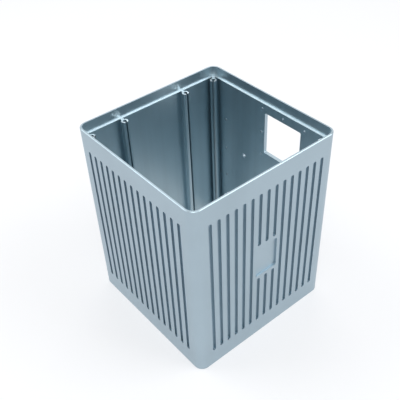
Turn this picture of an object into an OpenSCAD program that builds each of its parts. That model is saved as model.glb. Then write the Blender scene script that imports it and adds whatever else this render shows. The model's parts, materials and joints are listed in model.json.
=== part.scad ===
// Extruded aluminium enclosure: a square tube with screw ports, a seat for a
// cover, milled grooves, a front pocket, a side window and drilled holes.
// Millimetres. +Z runs along the extrusion and the origin is at the centre of its
// foot. The front faces -Y and carries the pocket. The window is in the +X side.

/* [Body] */
// Width of the body
body_w = 180; // [168:1:260]
// Depth of the body, from front to back
body_d = 180; // [168:1:260]
// Height of the body
body_h = 220; // [180:1:400]
// Thickness of the extruded wall
wall_t = 4; // [3.5:0.1:5.5]
// Outside radius of the upright corners
corner_r = 10; // [7:0.5:12]
// Chamfer that breaks the outer edges of both ends
edge_break = 0.5; // [0.2:0.1:1]

/* [Cover seat] */
// Depth of the cover seat below the top edge
seat_depth = 12; // [3:0.5:14]
// Thickness of the rim that stands round the seat
rim_t = 2; // [1.5:0.1:3]

/* [Grooves] */
// Number of grooves on each grooved face
groove_count = 15; // [3:1:15]
// Distance from one groove to the next
groove_pitch = 10.1; // [6:0.1:11]
// Width of a groove, which is its cutter's diameter
groove_w = 4; // [2:0.1:5]
// Depth of a groove
groove_depth = 3; // [1:0.1:3]
// Distance from the ends of the body to the ends of the grooves
groove_margin = 22; // [16:0.5:60]

/* [Front pocket] */
// Width of the pocket
pocket_w = 28; // [12:1:60]
// Height of the pocket
pocket_h = 38; // [12:1:100]
// Depth of the pocket
pocket_depth = 2; // [0.5:0.1:2.5]
// Radius of the pocket's corners
pocket_r = 2; // [1:0.5:5]
// Land between the pocket and the grooves that stop at it
pocket_land = 4; // [2:0.5:8]

/* [Screw ports] */
// Bore of a screw port
port_bore_d = 4.2; // [3:0.1:4.6]
// Thickness of the wall round the bore
port_wall = 1.6; // [1.5:0.1:2.2]
// Width of the slit along a port
port_slit_w = 2; // [1:0.1:2.4]
// Width of the neck that joins a port to the wall
port_neck_w = 3; // [2:0.1:5]
// Distance from the outer faces to the axes of the ports
port_inset = 10; // [9:0.5:14]
// Distance between the two middle ports of the front and of the back
port_spacing = 80; // [20:1:110]

/* [Window] */
// Width of the window
window_w = 51; // [20:1:54]
// Height of the window
window_h = 51; // [20:1:54]
// Radius of the window's corners
window_r = 1.5; // [0.5:0.5:4]
// Distance from the middle of the side forwards to the window's centre
window_offset = 22; // [0:1:30]
// Distance from the top edge down to the window's centre
window_drop = 48; // [45:1:60]
// Distance from the window's centre lines to the holes beside it
window_hole_pitch = 30; // [28:0.5:32]
// Diameter of the holes round the window
window_hole_d = 3.2; // [2:0.1:4]

/* [Board holes] */
// Number of holes in the column
board_hole_count = 3; // [1:1:4]
// Distance from one hole of the column to the next
board_hole_pitch = 40; // [10:1:60]
// Height of the lowest hole of the column
board_hole_z = 80; // [20:1:120]
// Distance from the middle of the side back to the column
board_hole_offset = 66; // [45:1:68]
// Diameter of the holes of the column
board_hole_d = 3.2; // [2:0.1:4]

/* [Cable hole] */
// Diameter of the cable hole
cable_hole_d = 5; // [3:0.5:12]
// Height of the cable hole
cable_hole_z = 125; // [20:1:160]
// Distance from the middle of the side back to the cable hole
cable_hole_offset = 35.5; // [20:0.5:50]

/* [Hidden] */
$fn = 96;
overcut = 1;
left_face = -90;
front_face = 0;
right_face = 90;
port_x = body_w/2 - port_inset;
port_y = body_d/2 - port_inset;
port_ring_d = port_bore_d + 2*port_wall;
side_neck = port_inset - wall_t/2;
corner_neck = sqrt(2)*(port_inset - corner_r) + corner_r - wall_t/2;
groove_h = body_h - 2*groove_margin;
window_z = body_h - window_drop;

// A rectangle with rounded corners, about its centre
module rounded(w, d, r) {
    square([w, d - 2*r], center = true);
    square([w - 2*r, d], center = true);
    for (x = [-1, 1], y = [-1, 1])
        translate([x*(w/2 - r), y*(d/2 - r)]) circle(r);
}

// The outline of the body, moved in from the outer faces
module outline(inset) {
    rounded(body_w - 2*inset, body_d - 2*inset, corner_r - inset);
}

// A port about its bore: a slit ring, on a neck that grows along +Y
module port(neck) {
    difference() {
        union() {
            circle(d = port_ring_d);
            translate([-port_neck_w/2, 0]) square([port_neck_w, neck]);
        }
        circle(d = port_bore_d);
        translate([-port_slit_w/2, -port_ring_d]) square([port_slit_w, port_ring_d]);
    }
}

// Ports in the four corners, and two in the middle of the front and the back.
// Every slit opens into the body, away from the wall that carries the port.
module ports() {
    for (x = [-1, 1], y = [-1, 1]) {
        translate([x*port_x, y*port_y]) rotate(atan2(-x, y)) port(corner_neck);
        translate([x*port_spacing/2, y*port_y]) rotate(atan2(0, y)) port(side_neck);
    }
}

// The section that leaves the die
module die_section() {
    difference() {
        outline(0);
        outline(wall_t);
    }
    ports();
}

// What a chamfer takes off, as a section about the edge
module wedge() {
    reach = edge_break + overcut;
    polygon([[overcut, -reach], [overcut, overcut], [-reach, overcut]]);
}

// The chamfer along one side of an end
module side_chamfer(out, half) {
    translate([out, half, 0]) rotate([90, 0, 0]) linear_extrude(2*half) wedge();
}

// The chamfer round the outer edge of the end that faces up
module end_chamfer() {
    centre_x = body_w/2 - corner_r;
    centre_y = body_d/2 - corner_r;
    for (a = [0, 180]) {
        rotate(a) side_chamfer(body_w/2, centre_y);
        rotate(a + 90) side_chamfer(body_d/2, centre_x);
    }
    for (x = [-1, 1], y = [-1, 1])
        translate([x*centre_x, y*centre_y, 0]) rotate(atan2(y, x) - 45)
            rotate_extrude(angle = 90) translate([corner_r, 0]) wedge();
}

// The body before its faces are milled: cut to length, with the seat for the
// cover, which also brings the ports down level with it
module cut_length() {
    difference() {
        linear_extrude(body_h) die_section();
        translate([0, 0, body_h - seat_depth]) linear_extrude(seat_depth + overcut) outline(rim_t);
        translate([0, 0, body_h]) end_chamfer();
        mirror([0, 0, 1]) end_chamfer();
    }
}

// Puts a drawing on an outer face, with its X along the face, its Y up the face
// from the foot and its Z out of the face
module on_face(turn, reach) {
    rotate(turn) translate([0, -reach, 0]) rotate([90, 0, 0]) children();
}

// Cuts a drawing into a face
module mill(depth) {
    translate([0, 0, -depth]) linear_extrude(depth + overcut) children();
}

// One groove, which starts at a height and has the cutter's round ends
module groove(start, length) {
    r = groove_w/2;
    translate([-r, start + r]) square([groove_w, length - groove_w]);
    for (y = [start + r, start + length - r])
        translate([0, y]) circle(r);
}

// A row of grooves. Those within clear_x of the middle stop short of the middle of
// the body by clear_y, above and below.
module groove_row(clear_x, clear_y) {
    for (i = [0 : groove_count - 1]) {
        x = (i - (groove_count - 1)/2)*groove_pitch;
        if (abs(x) - groove_w/2 < clear_x) {
            translate([x, 0]) groove(groove_margin, groove_h/2 - clear_y);
            translate([x, 0]) groove(body_h/2 + clear_y, groove_h/2 - clear_y);
        } else {
            translate([x, 0]) groove(groove_margin, groove_h);
        }
    }
}

// The pocket in the front, in the middle of its grooves
module pocket() {
    translate([0, body_h/2]) rounded(pocket_w, pocket_h, pocket_r);
}

// The window, with a hole at each corner and at the middle of each edge of the
// square round it
module window() {
    translate([-window_offset, window_z]) {
        rounded(window_w, window_h, window_r);
        for (x = [-1, 0, 1], y = [-1, 0, 1])
            if (x != 0 || y != 0)
                translate([x*window_hole_pitch, y*window_hole_pitch]) circle(d = window_hole_d);
    }
}

// The column of holes beside the window, and the cable hole
module board_holes() {
    for (i = [0 : board_hole_count - 1])
        translate([board_hole_offset, board_hole_z + i*board_hole_pitch]) circle(d = board_hole_d);
    translate([cable_hole_offset, cable_hole_z]) circle(d = cable_hole_d);
}

module housing() {
    color("#aabbc5")
        difference() {
            cut_length();
            on_face(front_face, body_d/2) {
                mill(groove_depth) groove_row(pocket_w/2 + pocket_land, pocket_h/2 + pocket_land);
                mill(pocket_depth) pocket();
            }
            on_face(left_face, body_w/2) mill(groove_depth) groove_row(-body_w, 0);
            on_face(right_face, body_w/2)
                mill(wall_t + overcut) {
                    window();
                    board_holes();
                }
        }
}

housing();
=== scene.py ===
import json
import math

import bpy
from mathutils import Matrix, Vector


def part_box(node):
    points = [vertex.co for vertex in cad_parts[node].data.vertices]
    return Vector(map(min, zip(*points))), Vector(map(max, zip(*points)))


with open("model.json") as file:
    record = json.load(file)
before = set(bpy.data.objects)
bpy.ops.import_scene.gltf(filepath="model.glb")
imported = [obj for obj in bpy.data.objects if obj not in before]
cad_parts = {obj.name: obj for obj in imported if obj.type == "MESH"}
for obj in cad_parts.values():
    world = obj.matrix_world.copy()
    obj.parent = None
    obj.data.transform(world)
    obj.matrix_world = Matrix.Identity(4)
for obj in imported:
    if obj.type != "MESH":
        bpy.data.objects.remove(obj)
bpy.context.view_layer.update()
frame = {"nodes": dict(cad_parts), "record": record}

MM = 0.001

# The housing. It stands on the floor, and the foot's centre is the origin.
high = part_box("housing")[1]
HALF_W = high.x
HALF_D = high.y
HEIGHT = high.z
CORNER_R = 10.0*MM              # outside radius of the upright corners
WALL = 4.0*MM                   # thickness of the extruded wall
SEAT = next(mount["pos_m"][2] for mount in frame["record"]["mounts"] if mount["name"] == "cover_seat")

# Camera
SENSOR = 36.0                   # mm
LENS = 57.158                   # mm
CAMERA_SHIFT_Y = 0.025
CAMERA_PLACE = Vector((-322.78, -400.04, 565.2))*MM
CAMERA_TURN = -37.98            # degrees round the object, 0 looks along +Y
CAMERA_RISE = 41.207            # degrees above the horizon
CAMERA_ROLL = 2.867             # degrees

# Colours, as sRGB hex
BLASTED_ANODISE = 0xABBCC6
EXTRUDED_ANODISE = 0xBBCFD8
MILLED_ANODISE = 0xE8EFF3
FLOOR_PAPER = 0xFBFCFE

# Finishes
BLASTED_ROUGHNESS = 0.42
EXTRUDED_ROUGHNESS = 0.35
MILLED_ROUGHNESS = 0.5
SKIN = 0.1*MM                   # how near a surface a point counts as on it
GRIT = 1.2*MM                   # grain of the blasting, drawn coarse enough to show
GRIT_DEPTH = 0.02*MM            # height of the grain
GRIT_BUMP = 0.05                # how much of that height shows in the shading
GRIT_GLOSS = 0.04               # how far the grain moves the roughness, up and down
GRIT_SHARPNESS = 0.6            # how much of the finer grain shows
CLOUD = 60.0*MM                 # size of the faint clouds of the anodising
DIE_LINE = 7.0*MM               # distance between the lines that the die leaves
DIE_STRETCH = 0.02              # how little a die line changes along the tube
FINE_DETAIL = 3.0               # layers of ever finer noise in the grain and the die lines
TONE = 0.03                     # how far clouds and die lines lighten and darken the metal
NOISE_LOW = 0.3                 # noise lies between these two nearly everywhere
NOISE_HIGH = 0.7

# Light. A strength of 1 shows a white thing as white.
SKY_LEVEL = 0.53
FLOOR_GLOW = 0.5                # how much of the floor's white needs no light
FLOOR_SIZE = 20.0               # m
LAMP_DISTANCE = 1.5             # m from the middle of the housing


def linear(hex_colour):
    """The linear RGBA colour of an sRGB hex value."""
    def channel(shift):
        c = (hex_colour >> shift & 255)/255
        return c/12.92 if c <= 0.04045 else ((c + 0.055)/1.055)**2.4
    return (channel(16), channel(8), channel(0), 1.0)


def empty_tree(owner):
    """The node tree of a material or a world, with nothing in it."""
    owner.use_nodes = True
    owner.node_tree.nodes.clear()
    return owner.node_tree


def add(tree, kind, settings=None, **links):
    """Adds a node. Settings name its properties or input sockets, and links name the
    input sockets that other nodes' outputs feed. A socket whose name other sockets
    share goes by its number, and as a link i0 is socket 0. On a Mix node, sockets 2
    and 3 are the two numbers that it mixes, and 6 and 7 the two colours."""
    node = tree.nodes.new("ShaderNode" + kind)
    for name, value in (settings or {}).items():
        if isinstance(name, str) and hasattr(node, name):
            setattr(node, name, value)
        else:
            node.inputs[name].default_value = value
    for name, output in links.items():
        socket = int(name[1:]) if name[1:].isdigit() else name.replace("_", " ")
        tree.links.new(output, node.inputs[socket])
    return node


def inside_and_seat(tree, place):
    """Two masks. The first is 1 on the inside, which takes in the seat and the inner
    face of the rim, and the second is 1 on the seat alone."""
    height = add(tree, "SeparateXYZ", Vector=place).outputs["Z"]

    # Reach is how far out a point is, counted from the centre of the rounded corners:
    # a corner radius at the outer skin, and a wall less on the inside. Taking off the
    # full height leaves nothing of the point's own height to count.
    corner = (HALF_W - CORNER_R, HALF_D - CORNER_R, HEIGHT)
    beyond = add(tree, "VectorMath", {"operation": "ABSOLUTE"}, i0=place).outputs["Vector"]
    beyond = add(tree, "VectorMath", {"operation": "SUBTRACT", 1: corner}, i0=beyond).outputs["Vector"]
    beyond = add(tree, "VectorMath", {"operation": "MAXIMUM"}, i0=beyond).outputs["Vector"]
    reach = add(tree, "VectorMath", {"operation": "LENGTH"}, i0=beyond).outputs["Value"]

    # The rim is thinner than the wall, so from the seat to just below the top all but
    # the outer skin is inside.
    rim = add(tree, "Math", {"operation": "COMPARE", 1: (SEAT + HEIGHT)/2 - SKIN, 2: (HEIGHT - SEAT)/2},
              i0=height).outputs[0]
    limit = add(tree, "Mix", {2: CORNER_R - WALL + SKIN, 3: CORNER_R - SKIN}, i0=rim).outputs[0]
    inside = add(tree, "Math", {"operation": "LESS_THAN"}, i0=reach, i1=limit).outputs[0]
    level = add(tree, "Math", {"operation": "COMPARE", 1: SEAT, 2: SKIN}, i0=height).outputs[0]
    seat = add(tree, "Math", {"operation": "MULTIPLY"}, i0=level, i1=inside).outputs[0]
    return inside, seat


def anodised_aluminium():
    """Clear anodised 6063 aluminium with three finishes. The outside, with all that
    is milled into it, and the top edge are bead blasted, which turns the shine into a
    soft, even sheen. The inside is smoother and lighter, with faint lines that the
    die leaves along the tube. The seat is milled last and is the brightest."""
    material = bpy.data.materials.new("anodised_aluminium")
    tree = empty_tree(material)
    place = add(tree, "TexCoord").outputs["Object"]
    inside, seat = inside_and_seat(tree, place)

    # Tone: faint clouds all over, and die lines on the inside
    tone_range = {"From Min": NOISE_LOW, "From Max": NOISE_HIGH, "To Min": 1 - TONE, "To Max": 1 + TONE}
    cloud = add(tree, "TexNoise", {"Scale": 1/CLOUD}, Vector=place).outputs["Fac"]
    cloud = add(tree, "MapRange", tone_range, Value=cloud).outputs["Result"]
    along = add(tree, "VectorMath", {"operation": "MULTIPLY", 1: (1, 1, DIE_STRETCH)}, i0=place)
    lines = add(tree, "TexNoise", {"Scale": 1/DIE_LINE, "Detail": FINE_DETAIL},
                Vector=along.outputs["Vector"]).outputs["Fac"]
    lines = add(tree, "MapRange", tone_range, Value=lines).outputs["Result"]
    lines = add(tree, "Mix", {2: 1.0}, i0=inside, i3=lines).outputs[0]
    tone = add(tree, "Math", {"operation": "MULTIPLY"}, i0=cloud, i1=lines).outputs[0]

    metal = add(tree, "Mix", {"data_type": "RGBA", 6: linear(BLASTED_ANODISE), 7: linear(EXTRUDED_ANODISE)},
                i0=inside).outputs[2]
    metal = add(tree, "Mix", {"data_type": "RGBA", 7: linear(MILLED_ANODISE)}, i0=seat, i6=metal).outputs[2]
    colour = add(tree, "VectorMath", {"operation": "SCALE"}, i0=metal, Scale=tone).outputs["Vector"]

    grit = add(tree, "TexNoise", {"Scale": 1/GRIT, "Detail": FINE_DETAIL, "Roughness": GRIT_SHARPNESS},
               Vector=place).outputs["Fac"]
    gloss = add(tree, "MapRange", {"To Min": -GRIT_GLOSS, "To Max": GRIT_GLOSS},
                Value=grit).outputs["Result"]
    finish = add(tree, "Mix", {2: BLASTED_ROUGHNESS, 3: EXTRUDED_ROUGHNESS}, i0=inside).outputs[0]
    finish = add(tree, "Mix", {3: MILLED_ROUGHNESS}, i0=seat, i2=finish).outputs[0]
    roughness = add(tree, "Math", {"operation": "ADD"}, i0=finish, i1=gloss).outputs[0]
    bump = add(tree, "Bump", {"Strength": GRIT_BUMP, "Distance": GRIT_DEPTH}, Height=grit).outputs["Normal"]

    shader = add(tree, "BsdfPrincipled", {"Metallic": 1.0}, Base_Color=colour, Roughness=roughness,
                 Normal=bump)
    add(tree, "OutputMaterial", Surface=shader.outputs["BSDF"])
    return material


def floor_paper():
    """Matt white paper. Half of its white is its own glow, for the camera and for
    reflections, and the rest is lit, so that it shows the housing's soft shadow."""
    material = bpy.data.materials.new("floor_paper")
    tree = empty_tree(material)
    paper = add(tree, "BsdfDiffuse", {"Color": linear(FLOOR_PAPER)}).outputs["BSDF"]
    glow = add(tree, "Emission", {"Color": linear(FLOOR_PAPER)}).outputs["Emission"]
    ray = add(tree, "LightPath").outputs
    seen = add(tree, "Math", {"operation": "MAXIMUM"}, i0=ray["Is Camera Ray"], i1=ray["Is Glossy Ray"])
    seen = add(tree, "Math", {"operation": "MAXIMUM"}, i0=seen.outputs[0], i1=ray["Is Transmission Ray"])
    share = add(tree, "Math", {"operation": "MULTIPLY", 1: FLOOR_GLOW}, i0=seen.outputs[0]).outputs[0]
    mix = add(tree, "MixShader", i0=share, i1=paper, i2=glow).outputs["Shader"]
    add(tree, "OutputMaterial", Surface=mix)
    return material


def make_camera():
    """The camera, turned round the object, raised and then rolled."""
    turn, rise, roll = (math.radians(angle) for angle in (CAMERA_TURN, CAMERA_RISE, CAMERA_ROLL))
    back = Vector((math.sin(turn)*math.cos(rise), -math.cos(turn)*math.cos(rise), math.sin(rise)))
    right = Vector((math.cos(turn), math.sin(turn), 0))
    up = back.cross(right)
    rolled_right = right*math.cos(roll) - up*math.sin(roll)
    rolled_up = right*math.sin(roll) + up*math.cos(roll)
    facing = Matrix((rolled_right, rolled_up, back)).transposed().to_4x4()
    bpy.ops.object.camera_add()
    camera = bpy.context.object
    camera.matrix_world = Matrix.Translation(CAMERA_PLACE) @ facing
    camera.data.sensor_width = SENSOR
    camera.data.lens = LENS
    camera.data.shift_y = CAMERA_SHIFT_Y
    bpy.context.scene.camera = camera


def make_floor():
    """The floor, at the height of the foot."""
    bpy.ops.mesh.primitive_plane_add(size=FLOOR_SIZE)
    floor = bpy.context.object
    floor.name = "floor"
    floor.data.materials.append(floor_paper())


def softbox(name, azimuth, elevation, size, level):
    """A square softbox that faces the housing. The azimuth turns from +X towards +Y,
    and the level is how bright its face is."""
    a = math.radians(azimuth)
    e = math.radians(elevation)
    toward = Vector((math.cos(a)*math.cos(e), math.sin(a)*math.cos(e), math.sin(e)))
    place = Vector((0, 0, HEIGHT/2)) + toward*LAMP_DISTANCE
    bpy.ops.object.light_add(type="AREA", location=place)
    lamp = bpy.context.object
    lamp.name = name
    lamp.data.shape = "SQUARE"
    lamp.data.size = size
    lamp.data.energy = level*math.pi*size**2
    lamp.rotation_euler = toward.to_track_quat("Z", "Y").to_euler()


def make_world():
    """An even, dim sky on all sides."""
    world = bpy.data.worlds.new("studio")
    bpy.context.scene.world = world
    tree = empty_tree(world)
    sky = add(tree, "Background", {"Color": (1, 1, 1, 1), "Strength": SKY_LEVEL})
    add(tree, "OutputWorld", Surface=sky.outputs["Background"])


bpy.ops.object.select_all(action="DESELECT")
make_camera()
make_world()
make_floor()
softbox("left_softbox", azimuth=129, elevation=42, size=1.0, level=2.5)
softbox("back_softbox", azimuth=51, elevation=40, size=1.0, level=1.1)
softbox("right_softbox", azimuth=309, elevation=42, size=1.0, level=2.9)
softbox("front_softbox", azimuth=231, elevation=42, size=0.8, level=2.2)

housing = frame["nodes"]["housing"]
housing.data.materials.clear()
housing.data.materials.append(anodised_aluminium())

bpy.context.scene.view_settings.view_transform = "Standard"
